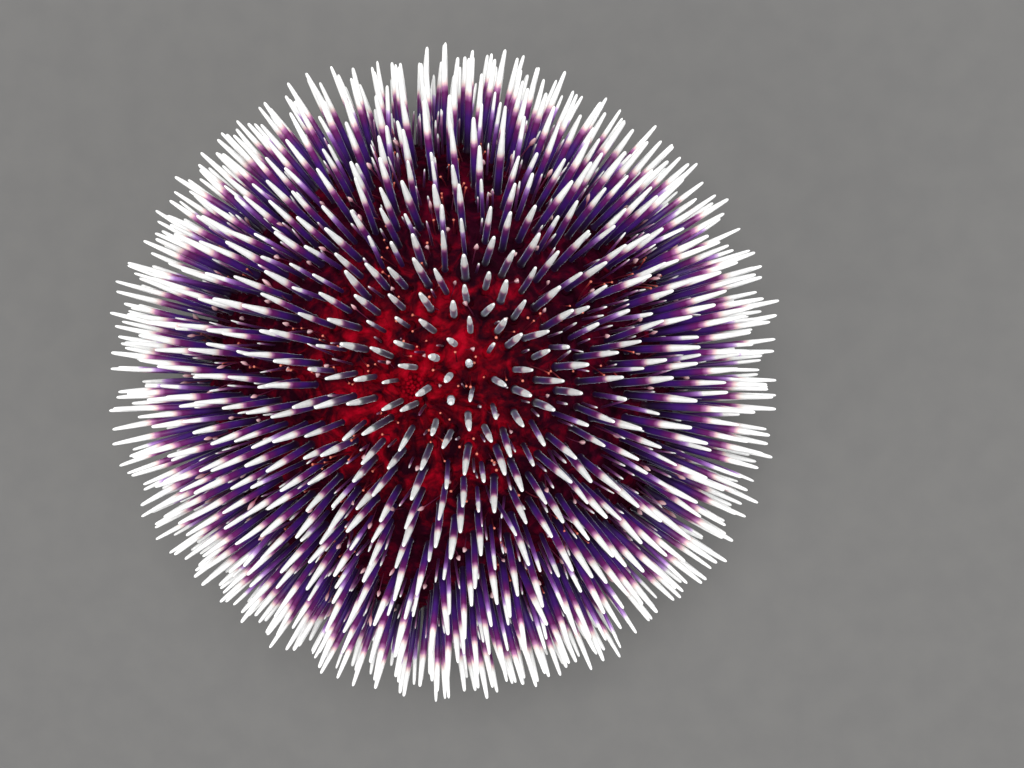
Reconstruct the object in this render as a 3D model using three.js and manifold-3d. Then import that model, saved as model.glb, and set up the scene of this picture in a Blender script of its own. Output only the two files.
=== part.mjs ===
// Purple sea urchin of the Mediterranean, life size, resting on its lower spines.
//
// Millimetres, +Z up. The origin is on the floor, under the axis that runs from the mouth to the apex.
// The test is a flattened globe. It is parted by thin cuts into five ambulacra, the zones that carry the
// tube feet, and five wider interambulacra between them, each with an upper and a lower half. The apical
// disc closes the top. The mouth membrane closes the bottom, round the tips of five teeth.
// Blunt, tapered spines grow from every zone in rings, and the lowest ones carry the animal.

import * as THREE from "three";
import { mergeVertices } from "three/addons/utils/BufferGeometryUtils.js";
import Module from "manifold-3d";

const wasm = await Module();
wasm.setup();

// Test
const TEST_RADIUS = 46;
const CROWN_HEIGHT = 32;
const ORAL_DEPTH = 23;
const MOUTH_CLEARANCE = 10.5;
const AMBITUS_Z = MOUTH_CLEARANCE + ORAL_DEPTH;
const APEX_Z = AMBITUS_Z + CROWN_HEIGHT;
const ORAL_FLATNESS = 0.82;
const FACET_DEGREES = 9;
const CROWN_BANDS = 9;
const ORAL_BANDS = 7;

// Zones
const ZONE_PAIRS = 5;
const PAIR_DEGREES = 360 / ZONE_PAIRS;
const AMBULACRUM_DEGREES = 27;
const FIRST_AMBULACRUM_DEGREES = 90;
const GAP = 0.3;
const REACH = 90;

// Apical disc, with its genital plates and the covered vent
const DISC_RADIUS = 6.2;
const DISC_FLAT_RADIUS = 3.7;
const DISC_DEPTH = 7;
const DISC_FACETS = 20;
const PLATE_SINK = 1.5;
const GENITAL_PLATE_RADIUS = 1.7;
const GENITAL_PLATE_TOP_RADIUS = 1.35;
const GENITAL_PLATE_RISE = 0.5;
const GENITAL_PLATE_INSET = 0.3;
const GENITAL_PLATE_FACETS = 6;
const VENT_RADIUS = 2.1;
const VENT_RIM_RADIUS = 1.5;
const VENT_RISE = 0.7;
const VENT_FLOOR_RISE = 0.3;
const VENT_FACETS = 10;
const DISC_SPINE_SHARE = 0.8;
const DISC_SPINE_LEAN_DEGREES = 12;

// Mouth membrane and its buccal feet
const MOUTH_RADIUS = 13;
const MEMBRANE_FACETS = 20;
const MEMBRANE_DEPTH = 6;
const MEMBRANE_SAG = 1.6;
const MEMBRANE_MIDWAY_SAG = 0.6;
const MEMBRANE_RIM_RISE = 1;
const JAW_OPENING_RADIUS = 3.4;
const BUCCAL_FEET = 10;
const BUCCAL_RING_RADIUS = 5.8;
const BUCCAL_FOOT_RADIUS = 0.7;
const BUCCAL_DISC_RADIUS = 0.9;
const BUCCAL_DISC_HEIGHT = 1;
const BUCCAL_FOOT_LENGTH = 3.2;
const BUCCAL_FOOT_SINK = 2;
const BUCCAL_FOOT_FACETS = 6;

// Teeth
const TOOTH_WIDTH = 1.9;
const TOOTH_THICKNESS = 1.2;
const TOOTH_LENGTH = 8;
const TOOTH_DROP = 2.2;
const TOOTH_TIP_RADIUS = 0.35;
const TOOTH_EDGE_HEIGHT = 0.4;
const TOOTH_BEND_RISE = 1.5;
const TOOTH_CLEARANCE = 0.3;

// Spines
const SPINE_SPACING = 4.6;
const ROOT_JITTER = 0.35;
const FACET_CENTRE_SHIFT = 1 / 6;
const SPINE_SIDES = 4;
const SPINE_BASE_RADIUS = 0.85;
const SPINE_SHOULDER_RADIUS = 0.5;
const SPINE_SHOULDER_SHARE = 0.88;
const SPINE_ROOT_DEPTH = 2.2;
const APEX_SPINE_LENGTH = 16.5;
const AMBITUS_SPINE_LENGTH = 20;
const ORAL_SPINE_LENGTH = 13;
const LENGTH_VARIATION = 0.06;
const LEAN_DEGREES = 4;
const SWAY_DEGREES = 2;
const FOOT_OVERSHOOT = 1.5;
const LEAST_TIP_CLEARANCE = 0.4;
const MOST_TIP_CLEARANCE = 2;
const SEED = 52;

// Colours
const SPINE_PURPLE = new THREE.Color("#3b1550");
const DISC_RED = new THREE.Color("#8a0d1c");
const MEMBRANE_MAROON = new THREE.Color("#4a0b1e");
const TOOTH_WHITE = new THREE.Color("#e9e4d4");

const radians = THREE.MathUtils.degToRad;
const lerp = THREE.MathUtils.lerp;

// A repeatable random draw between -1 and 1.
let drawState = SEED;
function draw() {
  drawState = (drawState * 1664525 + 1013904223) % 4294967296;
  return (drawState / 4294967296) * 2 - 1;
}

// Turns a closed three.js geometry into a solid, without the empty triangles at a lathe's poles.
function solidOf(geometry) {
  const bare = geometry.index ? geometry.toNonIndexed() : geometry.clone();
  bare.deleteAttribute("normal");
  bare.deleteAttribute("uv");
  const merged = mergeVertices(bare, 1e-4);
  const corners = merged.index.array;
  const kept = [];
  for (let i = 0; i < corners.length; i += 3) {
    const [a, b, c] = [corners[i], corners[i + 1], corners[i + 2]];
    if (a !== b && b !== c && c !== a) kept.push(a, b, c);
  }
  return new wasm.Manifold(
    new wasm.Mesh({
      numProp: 3,
      vertProperties: merged.attributes.position.array,
      triVerts: new Uint32Array(kept),
    }),
  );
}

// The largest closed surface of a solid, so that loose scraps and sealed hollows go.
function largestBody(solid) {
  return solid.decompose().sort((a, b) => b.volume() - a.volume())[0];
}

function geometryOf(solid) {
  const mesh = solid.getMesh();
  const geometry = new THREE.BufferGeometry();
  geometry.setAttribute("position", new THREE.BufferAttribute(mesh.vertProperties, 3));
  geometry.setIndex(new THREE.BufferAttribute(mesh.triVerts, 1));
  return geometry;
}

// A solid of revolution about +Z, from profile points of radius and height that run upwards.
function lathe(profile, facets, startAngle = 0) {
  const points = profile.map(([radius, height]) => new THREE.Vector2(radius, height));
  const geometry = new THREE.LatheGeometry(points, facets);
  geometry.rotateX(Math.PI / 2);
  geometry.rotateZ(startAngle - Math.PI / 2);
  return solidOf(geometry);
}

// A place at a radius, an angle round the axis and a height.
function placed(radius, around, height) {
  return new THREE.Vector3(radius * Math.cos(around), radius * Math.sin(around), height);
}

// Radius and height of the test at an angle down its meridian: 0 is the apex and PI the mouth.
function meridian(angle) {
  const fall = Math.cos(angle);
  const height = fall >= 0 ? CROWN_HEIGHT * fall : -ORAL_DEPTH * (-fall) ** ORAL_FLATNESS;
  return new THREE.Vector2(TEST_RADIUS * Math.sin(angle), AMBITUS_Z + height);
}

// The outward normal of the meridian, as radius and height.
function meridianNormal(angle) {
  const step = 0.004;
  const along = meridian(angle + step).sub(meridian(angle - step)).normalize();
  return new THREE.Vector2(-along.y, along.x);
}

// Angles that part a stretch of the meridian into bands of even height along the test.
function bandEdges(first, last, bands) {
  const steps = 400;
  const slack = 1e-9;
  const lengths = [0];
  for (let i = 1; i <= steps; i++) {
    const from = meridian(lerp(first, last, (i - 1) / steps));
    const to = meridian(lerp(first, last, i / steps));
    lengths.push(lengths[i - 1] + from.distanceTo(to));
  }
  const edges = [];
  for (let band = 0; band <= bands; band++) {
    const wanted = (lengths[steps] * band) / bands;
    const after = lengths.findIndex((length) => length >= wanted - slack);
    edges.push(lerp(first, last, after / steps));
  }
  return edges;
}

// The bands' edges from the apical disc to the ambitus, and from there to the mouth.
const DISC_ANGLE = Math.asin((DISC_RADIUS + GAP) / TEST_RADIUS);
const MOUTH_ANGLE = Math.PI - Math.asin((MOUTH_RADIUS + GAP) / TEST_RADIUS);
const CROWN_EDGES = bandEdges(DISC_ANGLE, Math.PI / 2, CROWN_BANDS);
const ORAL_EDGES = bandEdges(Math.PI / 2, MOUTH_ANGLE, ORAL_BANDS);

// The whole test, faceted in the same bands and sectors as the spines stand in.
function testSolid() {
  const angles = [...CROWN_EDGES, ...ORAL_EDGES.slice(1)];
  const profile = angles.map((angle) => meridian(angle)).map((point) => [point.x, point.y]);
  profile.unshift([0, profile[0][1]]);
  profile.push([0, profile[profile.length - 1][1]]);
  const firstEdge = FIRST_AMBULACRUM_DEGREES - AMBULACRUM_DEGREES / 2;
  return lathe(profile.reverse(), 360 / FACET_DEGREES, radians(firstEdge));
}

// The space of one zone: a wedge about the axis between two heights, half a gap inside its borders.
function wedge(middle, width, low, high) {
  const half = width / 2;
  const inset = GAP / 2 / Math.sin(half);
  const apex = new THREE.Vector2(inset * Math.cos(middle), inset * Math.sin(middle));
  const corner = (angle) =>
    new THREE.Vector2(apex.x + REACH * Math.cos(angle), apex.y + REACH * Math.sin(angle));
  const outline = new THREE.Shape([apex, corner(middle - half), corner(middle + half)]);
  const geometry = new THREE.ExtrudeGeometry(outline, { depth: high - low, bevelEnabled: false });
  geometry.translate(0, 0, low);
  return solidOf(geometry);
}

// One spine, rooted below the surface: a tapered shaft with a short, blunt tip.
function spineSolid(root, direction, length) {
  const shoulder = length * SPINE_SHOULDER_SHARE;
  const spine = new THREE.LatheGeometry(
    [
      new THREE.Vector2(0, -SPINE_ROOT_DEPTH),
      new THREE.Vector2(SPINE_BASE_RADIUS, -SPINE_ROOT_DEPTH),
      new THREE.Vector2(SPINE_SHOULDER_RADIUS, shoulder),
      new THREE.Vector2(0, length),
    ],
    SPINE_SIDES,
  );
  const turn = new THREE.Quaternion().setFromUnitVectors(new THREE.Vector3(0, 1, 0), direction);
  spine.applyQuaternion(turn);
  spine.translate(root.x, root.y, root.z);
  return solidOf(spine);
}

function spineLength(angle) {
  const pole = angle > Math.PI / 2 ? ORAL_SPINE_LENGTH : APEX_SPINE_LENGTH;
  const share = Math.sin(angle) ** 2;
  return lerp(pole, AMBITUS_SPINE_LENGTH, share) * (1 + LENGTH_VARIATION * draw());
}

// The way a spine points, in its meridian plane. A spine that would pierce the floor is splayed
// outwards until its tip just clears the floor, and a foot reaches a little past it, to be cut flat.
function spineDirection(angle, rootHeight, length, isFoot) {
  const lean = radians(LEAN_DEGREES) * draw();
  const tilted = meridianNormal(angle).rotateAround(new THREE.Vector2(), lean);
  const clearance = lerp(LEAST_TIP_CLEARANCE, MOST_TIP_CLEARANCE, (1 + draw()) / 2);
  const fall = (rootHeight - (isFoot ? -FOOT_OVERSHOOT : clearance)) / length;
  if (fall < 1 && (isFoot || -tilted.y > fall)) {
    return new THREE.Vector2(Math.sqrt(1 - fall * fall), -fall);
  }
  return tilted;
}

// The spines of one half zone, a ring to each band. A root stands in one of the two triangles of its
// facet, and where facets are narrow only every second or third one carries a spine.
function zoneSpines(middle, width, edges) {
  const spines = [];
  const facet = radians(FACET_DEGREES);
  const facets = Math.round(width / facet);
  for (let band = 0; band + 1 < edges.length; band++) {
    const between = (share) => lerp(edges[band], edges[band + 1], share);
    const bandRadius = meridian(between(0.5)).x;
    const stride = Math.max(1, Math.ceil(SPINE_SPACING / (bandRadius * facet)));
    const firstFacet = (band * Math.round(stride / 2)) % stride;
    for (let i = firstFacet; i < facets; i += stride) {
      const side = band % 2 ? FACET_CENTRE_SHIFT : -FACET_CENTRE_SHIFT;
      const angle = between(0.5 - side);
      const spot = meridian(angle);
      const shift = (ROOT_JITTER * draw()) / spot.x;
      const room = width / 2 - (SPINE_BASE_RADIUS + GAP) / spot.x;
      const place = (i + 0.5 + side) * facet - width / 2 + shift;
      const around = THREE.MathUtils.clamp(place, -room, room) + middle;
      const length = spineLength(angle);
      const isFoot = edges === ORAL_EDGES && spot.y < length && (i + band) % 2 === 0;
      const tilt = spineDirection(angle, spot.y, length, isFoot);
      const heading = around + radians(SWAY_DEGREES) * draw();
      const direction = placed(tilt.x, heading, tilt.y).normalize();
      spines.push(spineSolid(placed(spot.x, around, spot.y), direction, length));
    }
  }
  return spines;
}

// Ten zones, each in an upper and a lower half, named round the axis.
function zoneParts() {
  const discFloor = APEX_Z - DISC_DEPTH;
  const discEdge = DISC_RADIUS + GAP;
  const discPocket = lathe(
    [
      [0, discFloor],
      [discEdge, discFloor],
      [discEdge, REACH],
      [0, REACH],
    ],
    DISC_FACETS,
  );
  const mouthCeiling = MOUTH_CLEARANCE + MEMBRANE_DEPTH + GAP;
  const mouthEdge = MOUTH_RADIUS + GAP;
  const mouthPocket = lathe(
    [
      [0, 0],
      [mouthEdge, 0],
      [mouthEdge, mouthCeiling],
      [0, mouthCeiling],
    ],
    MEMBRANE_FACETS,
  );
  const hollowed = testSolid().subtract(discPocket).subtract(mouthPocket);
  const halves = [
    { label: "upper", low: AMBITUS_Z + GAP / 2, high: REACH, edges: CROWN_EDGES },
    { label: "lower", low: 0, high: AMBITUS_Z - GAP / 2, edges: ORAL_EDGES },
  ];
  const widths = {
    ambulacrum: radians(AMBULACRUM_DEGREES),
    interambulacrum: radians(PAIR_DEGREES - AMBULACRUM_DEGREES),
  };
  const parts = [];
  for (let pair = 0; pair < ZONE_PAIRS; pair++) {
    for (const [kind, width] of Object.entries(widths)) {
      const offset = kind === "ambulacrum" ? 0 : PAIR_DEGREES / 2;
      const middle = radians(FIRST_AMBULACRUM_DEGREES + pair * PAIR_DEGREES + offset);
      for (const { label, low, high, edges } of halves) {
        const space = wedge(middle, width, low, high);
        const spines = zoneSpines(middle, width, edges);
        const joined = wasm.Manifold.union([hollowed.intersect(space), ...spines]);
        parts.push({
          name: `${kind}_${pair + 1}_${label}`,
          solid: largestBody(joined.intersect(space)),
        });
      }
    }
  }
  return parts;
}

// The apical disc: a low plug with five raised genital plates round the covered vent, and one small
// spine on each plate.
function apicalDisc() {
  const plug = lathe(
    [
      [0, APEX_Z - DISC_DEPTH + GAP],
      [DISC_RADIUS, APEX_Z - DISC_DEPTH + GAP],
      [DISC_RADIUS, meridian(Math.asin(DISC_RADIUS / TEST_RADIUS)).y],
      [DISC_FLAT_RADIUS, APEX_Z],
      [0, APEX_Z],
    ],
    DISC_FACETS,
  );
  const vent = lathe(
    [
      [0, APEX_Z - PLATE_SINK],
      [VENT_RADIUS, APEX_Z - PLATE_SINK],
      [VENT_RIM_RADIUS, APEX_Z + VENT_RISE],
      [0, APEX_Z + VENT_FLOOR_RISE],
    ],
    VENT_FACETS,
  );
  const pieces = [plug, vent];
  const ring = DISC_RADIUS - GENITAL_PLATE_RADIUS - GENITAL_PLATE_INSET;
  const lean = radians(DISC_SPINE_LEAN_DEGREES);
  for (let i = 0; i < ZONE_PAIRS; i++) {
    const around = radians(FIRST_AMBULACRUM_DEGREES + (i + 0.5) * PAIR_DEGREES);
    const place = placed(ring, around, APEX_Z);
    const plate = lathe(
      [
        [0, -PLATE_SINK],
        [GENITAL_PLATE_RADIUS, -PLATE_SINK],
        [GENITAL_PLATE_TOP_RADIUS, GENITAL_PLATE_RISE],
        [0, GENITAL_PLATE_RISE],
      ],
      GENITAL_PLATE_FACETS,
    ).translate(place.toArray());
    const direction = placed(Math.sin(lean), around, Math.cos(lean));
    pieces.push(plate, spineSolid(place, direction, APEX_SPINE_LENGTH * DISC_SPINE_SHARE));
  }
  return largestBody(wasm.Manifold.union(pieces));
}

// The mouth membrane: a slack ring round the jaw opening, with ten stout buccal feet.
function mouthMembrane() {
  const top = MOUTH_CLEARANCE + MEMBRANE_DEPTH;
  const ring = lathe(
    [
      [JAW_OPENING_RADIUS, top],
      [JAW_OPENING_RADIUS, MOUTH_CLEARANCE - MEMBRANE_SAG],
      [(JAW_OPENING_RADIUS + MOUTH_RADIUS) / 2, MOUTH_CLEARANCE - MEMBRANE_MIDWAY_SAG],
      [MOUTH_RADIUS, MOUTH_CLEARANCE + MEMBRANE_RIM_RISE],
      [MOUTH_RADIUS, top],
      [JAW_OPENING_RADIUS, top],
    ],
    MEMBRANE_FACETS,
  );
  const pieces = [ring];
  for (let i = 0; i < BUCCAL_FEET; i++) {
    const around = radians(FIRST_AMBULACRUM_DEGREES + ((i + 0.5) * 360) / BUCCAL_FEET);
    const foot = lathe(
      [
        [0, -BUCCAL_FOOT_LENGTH],
        [BUCCAL_DISC_RADIUS, -BUCCAL_FOOT_LENGTH],
        [BUCCAL_FOOT_RADIUS, BUCCAL_DISC_HEIGHT - BUCCAL_FOOT_LENGTH],
        [BUCCAL_FOOT_RADIUS, BUCCAL_FOOT_SINK],
        [0, BUCCAL_FOOT_SINK],
      ],
      BUCCAL_FOOT_FACETS,
    ).translate(placed(BUCCAL_RING_RADIUS, around, MOUTH_CLEARANCE).toArray());
    pieces.push(foot);
  }
  return largestBody(wasm.Manifold.union(pieces));
}

// One tooth: a chisel that leans in to meet the other four under the mouth.
function tooth(index) {
  const tip = MOUTH_CLEARANCE - MEMBRANE_SAG - TOOTH_DROP;
  const outer = JAW_OPENING_RADIUS - GAP - TOOTH_CLEARANCE;
  const inner = outer - TOOTH_THICKNESS;
  const bend = tip + TOOTH_DROP + TOOTH_BEND_RISE;
  const outline = new THREE.Shape([
    new THREE.Vector2(TOOTH_TIP_RADIUS, tip),
    new THREE.Vector2(TOOTH_TIP_RADIUS + TOOTH_THICKNESS / 2, tip + TOOTH_EDGE_HEIGHT),
    new THREE.Vector2(outer, bend),
    new THREE.Vector2(outer, tip + TOOTH_LENGTH),
    new THREE.Vector2(inner, tip + TOOTH_LENGTH),
    new THREE.Vector2(inner, bend + TOOTH_EDGE_HEIGHT),
  ]);
  const geometry = new THREE.ExtrudeGeometry(outline, { depth: TOOTH_WIDTH, bevelEnabled: false });
  const middle = radians(FIRST_AMBULACRUM_DEGREES + (index + 0.5) * PAIR_DEGREES);
  geometry.translate(0, 0, -TOOTH_WIDTH / 2);
  geometry.rotateX(Math.PI / 2);
  geometry.rotateZ(middle);
  const space = wedge(middle, radians(PAIR_DEGREES), 0, REACH);
  return solidOf(geometry).intersect(space);
}

function mesh(name, solid, color, roughness) {
  const material = new THREE.MeshStandardMaterial({ color, roughness, metalness: 0 });
  const made = new THREE.Mesh(geometryOf(solid), material);
  made.name = name;
  return made;
}

const urchin = new THREE.Group();
for (const { name, solid } of zoneParts()) {
  urchin.add(mesh(name, solid, SPINE_PURPLE, 0.45));
}
urchin.add(mesh("apical_disc", apicalDisc(), DISC_RED, 0.5));
urchin.add(mesh("mouth_membrane", mouthMembrane(), MEMBRANE_MAROON, 0.5));
for (let i = 0; i < ZONE_PAIRS; i++) {
  urchin.add(mesh(`tooth_${i + 1}`, tooth(i), TOOTH_WHITE, 0.3));
}

export default urchin;
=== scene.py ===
"""Looks of a life-size purple sea urchin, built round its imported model.

Metres, +Z up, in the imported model's own frame. A skin covers the whole test. Spines of three kinds, tube
feet and pedicellariae are set on it by seeded draws, each kind as joined meshes. Plates close the top of
the test, and the mouth membrane with its feet and teeth closes the bottom.
"""

import math

import bpy
import numpy as np
from mathutils import Matrix, Vector


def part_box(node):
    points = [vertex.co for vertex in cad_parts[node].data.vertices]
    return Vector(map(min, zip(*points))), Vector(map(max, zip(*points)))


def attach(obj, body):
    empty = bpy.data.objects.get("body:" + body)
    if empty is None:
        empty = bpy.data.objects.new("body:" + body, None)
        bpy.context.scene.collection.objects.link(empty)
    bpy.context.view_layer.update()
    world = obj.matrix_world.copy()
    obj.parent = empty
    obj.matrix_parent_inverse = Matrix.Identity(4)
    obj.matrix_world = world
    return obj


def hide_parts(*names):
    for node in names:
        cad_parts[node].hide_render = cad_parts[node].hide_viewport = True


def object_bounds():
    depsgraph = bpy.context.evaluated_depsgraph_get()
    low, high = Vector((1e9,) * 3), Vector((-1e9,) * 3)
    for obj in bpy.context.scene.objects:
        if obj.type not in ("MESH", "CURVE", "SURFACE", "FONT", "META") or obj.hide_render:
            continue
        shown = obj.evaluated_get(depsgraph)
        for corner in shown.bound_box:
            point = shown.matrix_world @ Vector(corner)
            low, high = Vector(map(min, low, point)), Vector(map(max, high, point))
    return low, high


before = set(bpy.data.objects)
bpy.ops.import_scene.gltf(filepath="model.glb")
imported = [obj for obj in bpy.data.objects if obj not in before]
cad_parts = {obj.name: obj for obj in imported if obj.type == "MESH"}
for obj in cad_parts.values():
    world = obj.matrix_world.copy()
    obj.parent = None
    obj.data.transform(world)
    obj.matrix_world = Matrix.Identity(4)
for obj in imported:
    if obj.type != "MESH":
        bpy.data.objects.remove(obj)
CAD_LOW, CAD_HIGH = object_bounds()

MM = 0.001
SEED = 4317

# Test
TEST_RADIUS = 46 * MM
CROWN_HEIGHT = 32 * MM
ORAL_DEPTH = 23 * MM
AMBITUS_Z = 33.5 * MM
ORAL_FLATNESS = 0.82
SKIN_INSET = 0.3 * MM
SKIN_COLUMNS = 400
SKIN_ROWS = 190
ARC_SAMPLES = 2000
NORMAL_STEP = 0.004

# Zones
ZONE_PAIRS = 5
PAIR_ANGLE = 2 * math.pi / ZONE_PAIRS
AMBULACRUM_ANGLE = math.radians(27)
FIRST_AMBULACRUM = math.radians(90)
FIRST_EDGE = FIRST_AMBULACRUM - AMBULACRUM_ANGLE / 2

# Mouth
MOUTH_RADIUS = 13 * MM
MOUTH_Z = 10.5 * MM
JAW_OPENING_RADIUS = 3.4 * MM

# Skin relief: grooves along the zones and, shallower, between plates, and a gentle swell of two waves,
# each with so many radians to a radian round the test and to a metre down it
GROOVE_WIDTH = 0.55 * MM
GROOVE_DEPTH = 0.28 * MM
PLATE_HEIGHT = 4.2 * MM
PLATE_GROOVE_WIDTH = 0.35 * MM
PLATE_GROOVE_SHARE = 0.5
SWELL_HEIGHT = 0.12 * MM
SWELL_WAVES = ((35, 900), (-20, 1400))

# Heights over the ambitus, as shares of the crown's, between which the skin turns redder. The darker skin
# below is partly its own colour and partly painted shade between the longer spines
RED_FROM = 0.66
RED_FULL = 0.99

# Patches of the map that colours are baked through, and the ridges counted across one
PATCH = 0.003
PATCH_MARGIN = 0.002
RIDGES = 20

# Photograph
FRAME_WIDTH = 1024
FRAME_HEIGHT = 768
BODY_PIXEL = (442, 377)
LENS_MM = 50
SENSOR_MM = 36
CAMERA_DISTANCE = 282 * MM
CAMERA_LEAN = math.radians(10)
CAMERA_BEARING = math.radians(20)

# Stage. Each light has a side that it shines from, a strength, a width in degrees and a colour
FLOOR_HALF_WIDTH = 20
SKY_COLOUR = (0.9, 0.92, 1.0)
SKY_STRENGTH = 0.28
LIGHTS = {
    "key": ((0.19, 0.31, 1.60), 4.8, 43, (1.0, 1.0, 1.0)),
    "fill": ((-1.20, -0.85, 1.30), 0.7, 32, (1.0, 0.97, 0.95)),
    "side": ((1.30, -0.60, 1.10), 0.6, 32, (0.95, 0.97, 1.0)),
}

# How much more the spines lean up and down at the ambitus, in degrees, and the waves in which neighbours
# lean to the same side: their number round the test and down it, their phase and their height
AMBITUS_LEAN = 4.5
LEAN_WAVES = ((5, 2, 0, 0.045), (9, 0, 1.7, 0.035))

# Share of a step that each ring of roots is turned from the last, so that rings don't line up
GOLDEN_STEP = 0.382

# How much closer the roots stand at the ambitus, how close rings stand for the step along them, and how
# far all of them stay from the apex
CROWDING = 0.10
RING_CLOSENESS = 0.93
APEX_GAP = 0.5 * MM

# Length of a full-grown spine at the apex, the ambitus and the mouth
CROWN_LENGTH = 16.5 * MM
AMBITUS_LENGTH = 20.4 * MM
MOUTH_LENGTH = 13 * MM

# How deep inside the skin a shaft starts
ROOT_SINK = 1.2 * MM

# Spines. Ends are how far from the apex and from the mouth the rings stop, lengths and widths are ranges
# of shares, and leans are in degrees. Room is what other growths keep from the roots of long spines
SPINE_ENDS = (3 * MM, 1.5 * MM)
SPINE_SPACING = 4.05 * MM
SPINE_JITTER = 0.24 * MM
SPINE_BOW = 0.006
SLENDER_SHARE = 0.26

STOUT_RADIUS = 0.57 * MM
AMBITUS_THICKENING = 0.10 * MM
STOUT_WIDTHS = (0.86, 1.12)
STOUT_LENGTHS = (0.86, 1.04)
STOUT_LEAN = 2.2
STOUT_TIP = 0.36 * MM
STOUT_SIDES = 12

SLENDER_RADIUS = 0.44 * MM
SLENDER_WIDTHS = (0.85, 1.15)
SLENDER_LENGTHS = (0.66, 0.95)
SLENDER_LEAN = 3.2
SLENDER_TIP = 0.28 * MM
SLENDER_SIDES = 8

SMALL_ENDS = (3 * MM, 1 * MM)
SMALL_SPACING = 3.45 * MM
SMALL_JITTER = 0.8 * MM
SMALL_STAGGER = 0.37
SMALL_RADIUS = 0.24 * MM
SMALL_WIDTHS = (0.8, 1.25)
SMALL_LENGTH = 7 * MM
SMALL_LENGTHS = (0.6, 1.3)
SMALL_LEAN = 5
SMALL_TIP = 0.2 * MM
SMALL_SIDES = 6
SMALL_ROOM = 1.35 * MM

# How far from the apex short spines are fewer, and the share of them that stands there
SPARSE_CROWN = math.radians(32)
SPARSE_SHARE = 0.5

# Low bosses under the long spines
TUBERCLE_RADIUS = 0.68 * MM
TUBERCLE_HEIGHT = 0.7 * MM
TUBERCLE_SINK = 0.25 * MM
TUBERCLE_SIDES = 10

# Tube feet along each edge of an ambulacrum, whose places are shares of the way from its middle
TUBE_FEET_PER_EDGE = 52
TUBE_FOOT_ENDS = (6 * MM, 2 * MM)
TUBE_FOOT_PLACES = (0.45, 1.0)
TUBE_FOOT_RADIUS = 0.12 * MM
TUBE_FOOT_WIDTHS = (0.8, 1.25)
TUBE_FOOT_LENGTHS_MM = (2.5, 6)
TUBE_FOOT_LEAN = 14
TUBE_FOOT_BOW = 0.06
TUBE_FOOT_TIP = 0.5 * MM
TUBE_FOOT_SIDES = 8
TUBE_FOOT_ROOM = 0.95 * MM

# Pedicellariae. The three-part head begins at a share of the length
PEDICELLARIA_ENDS = (5 * MM, 2 * MM)
PEDICELLARIA_SPACING = 6.5 * MM
PEDICELLARIA_JITTER = 1.6 * MM
PEDICELLARIA_STAGGER = 0.21
PEDICELLARIA_RADIUS = 0.115 * MM
PEDICELLARIA_WIDTHS = (0.85, 1.3)
PEDICELLARIA_LENGTHS_MM = (4, 8.5)
PEDICELLARIA_LEAN = 13
PEDICELLARIA_BOW = 0.04
PEDICELLARIA_TIP = 0.4 * MM
PEDICELLARIA_SIDES = 12
PEDICELLARIA_ROOM = 1.1 * MM
HEAD_SHARE = 0.8
HEAD_LOBES = 0.22

# How low growths stop over the floor: the share of them that touch it, the least height as a share of a
# tip's radius, and the most that the others stay higher. Those too long for it are spread, so that they
# point down at this share of their length or less. A tip also keeps a margin inside the box
TOUCHING_SHARE = 0.3
LEAST_HEIGHT = 0.35
MOST_HEIGHT = 1.6 * MM
STEEPEST = 0.999
BOX_MARGIN = 0.35 * MM

# A direction's parts under the one count as nothing, and over the other as upright
TINY = 1e-6
NEARLY_UPRIGHT = 0.9

# How the length differs by bearing: a mean share, and waves round the test with their number, share and
# phase. The outline also dips or swells here: bearing and half width in degrees, and share of the length
MEAN_LENGTH = 0.95
LENGTH_WAVES = ((2, 0.05, math.pi / 2), (5, 0.02, 0.9), (9, 0.02, 2.1))
DENTS = (
    (15, 10, 0.04),
    (60, 12, -0.07),
    (232, 14, -0.13),
    (285, 10, -0.08),
    (338, 14, 0.07),
)

# Degrees from the apex within which spines have the crown's colours alone, and where those end. On the
# crown the stout and slender spines' greyer colours are partly painted sheen, the pale grey-green of
# shafts seen end-on
CROWN_COLOURS_FULL = 9
CROWN_COLOURS_END = 20

# Apical plates: radius of the ring that they lie in, their own radius, height and number of corners. The
# corners reach out by a share of the radius
GENITAL_PLATE = (4.1 * MM, 1.7 * MM, 0.62 * MM, 5)
SIEVE_PLATE = (4.1 * MM, 2.05 * MM, 0.62 * MM, 5)
OCULAR_PLATE = (5.6 * MM, 0.95 * MM, 0.45 * MM, 3)
APICAL_CORNER = 0.08
APICAL_SINK = 0.15 * MM
APICAL_ROWS = 5
APICAL_SIDES = 40

# Small plates over the vent, in rings: radius of the ring, number, and a plate's radius and height
VENT_RINGS = (
    (1.85 * MM, 14, 0.42 * MM, 0.28 * MM),
    (1.05 * MM, 9, 0.38 * MM, 0.36 * MM),
    (0.35 * MM, 4, 0.30 * MM, 0.44 * MM),
)
VENT_PLATE_CORNERS = 4
VENT_PLATE_SIDES = 16

# Mouth membrane. It sags most at a share of its width, its folds run inwards in bends, ripples run round
# it, and it turns up into the throat at a share of its rows
MEMBRANE_COLUMNS = 200
MEMBRANE_ROWS = 46
MEMBRANE_LAP = 0.4 * MM
MEMBRANE_SAG = 1.9 * MM
MEMBRANE_RISE = 1 * MM
LOWEST_SHARE = 0.82
FOLD_DEPTH = 0.28 * MM
FOLD_COUNT = 40
FOLD_BEND = 6
FOLD_BEATS = 9
RIPPLE_DEPTH = 0.22 * MM
RIPPLE_BEATS = 46
THROAT_SHARE = 0.82
THROAT_DEPTH = 5 * MM
THROAT_NARROWING = 0.25
THROAT_TOP = 4 * MM

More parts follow.
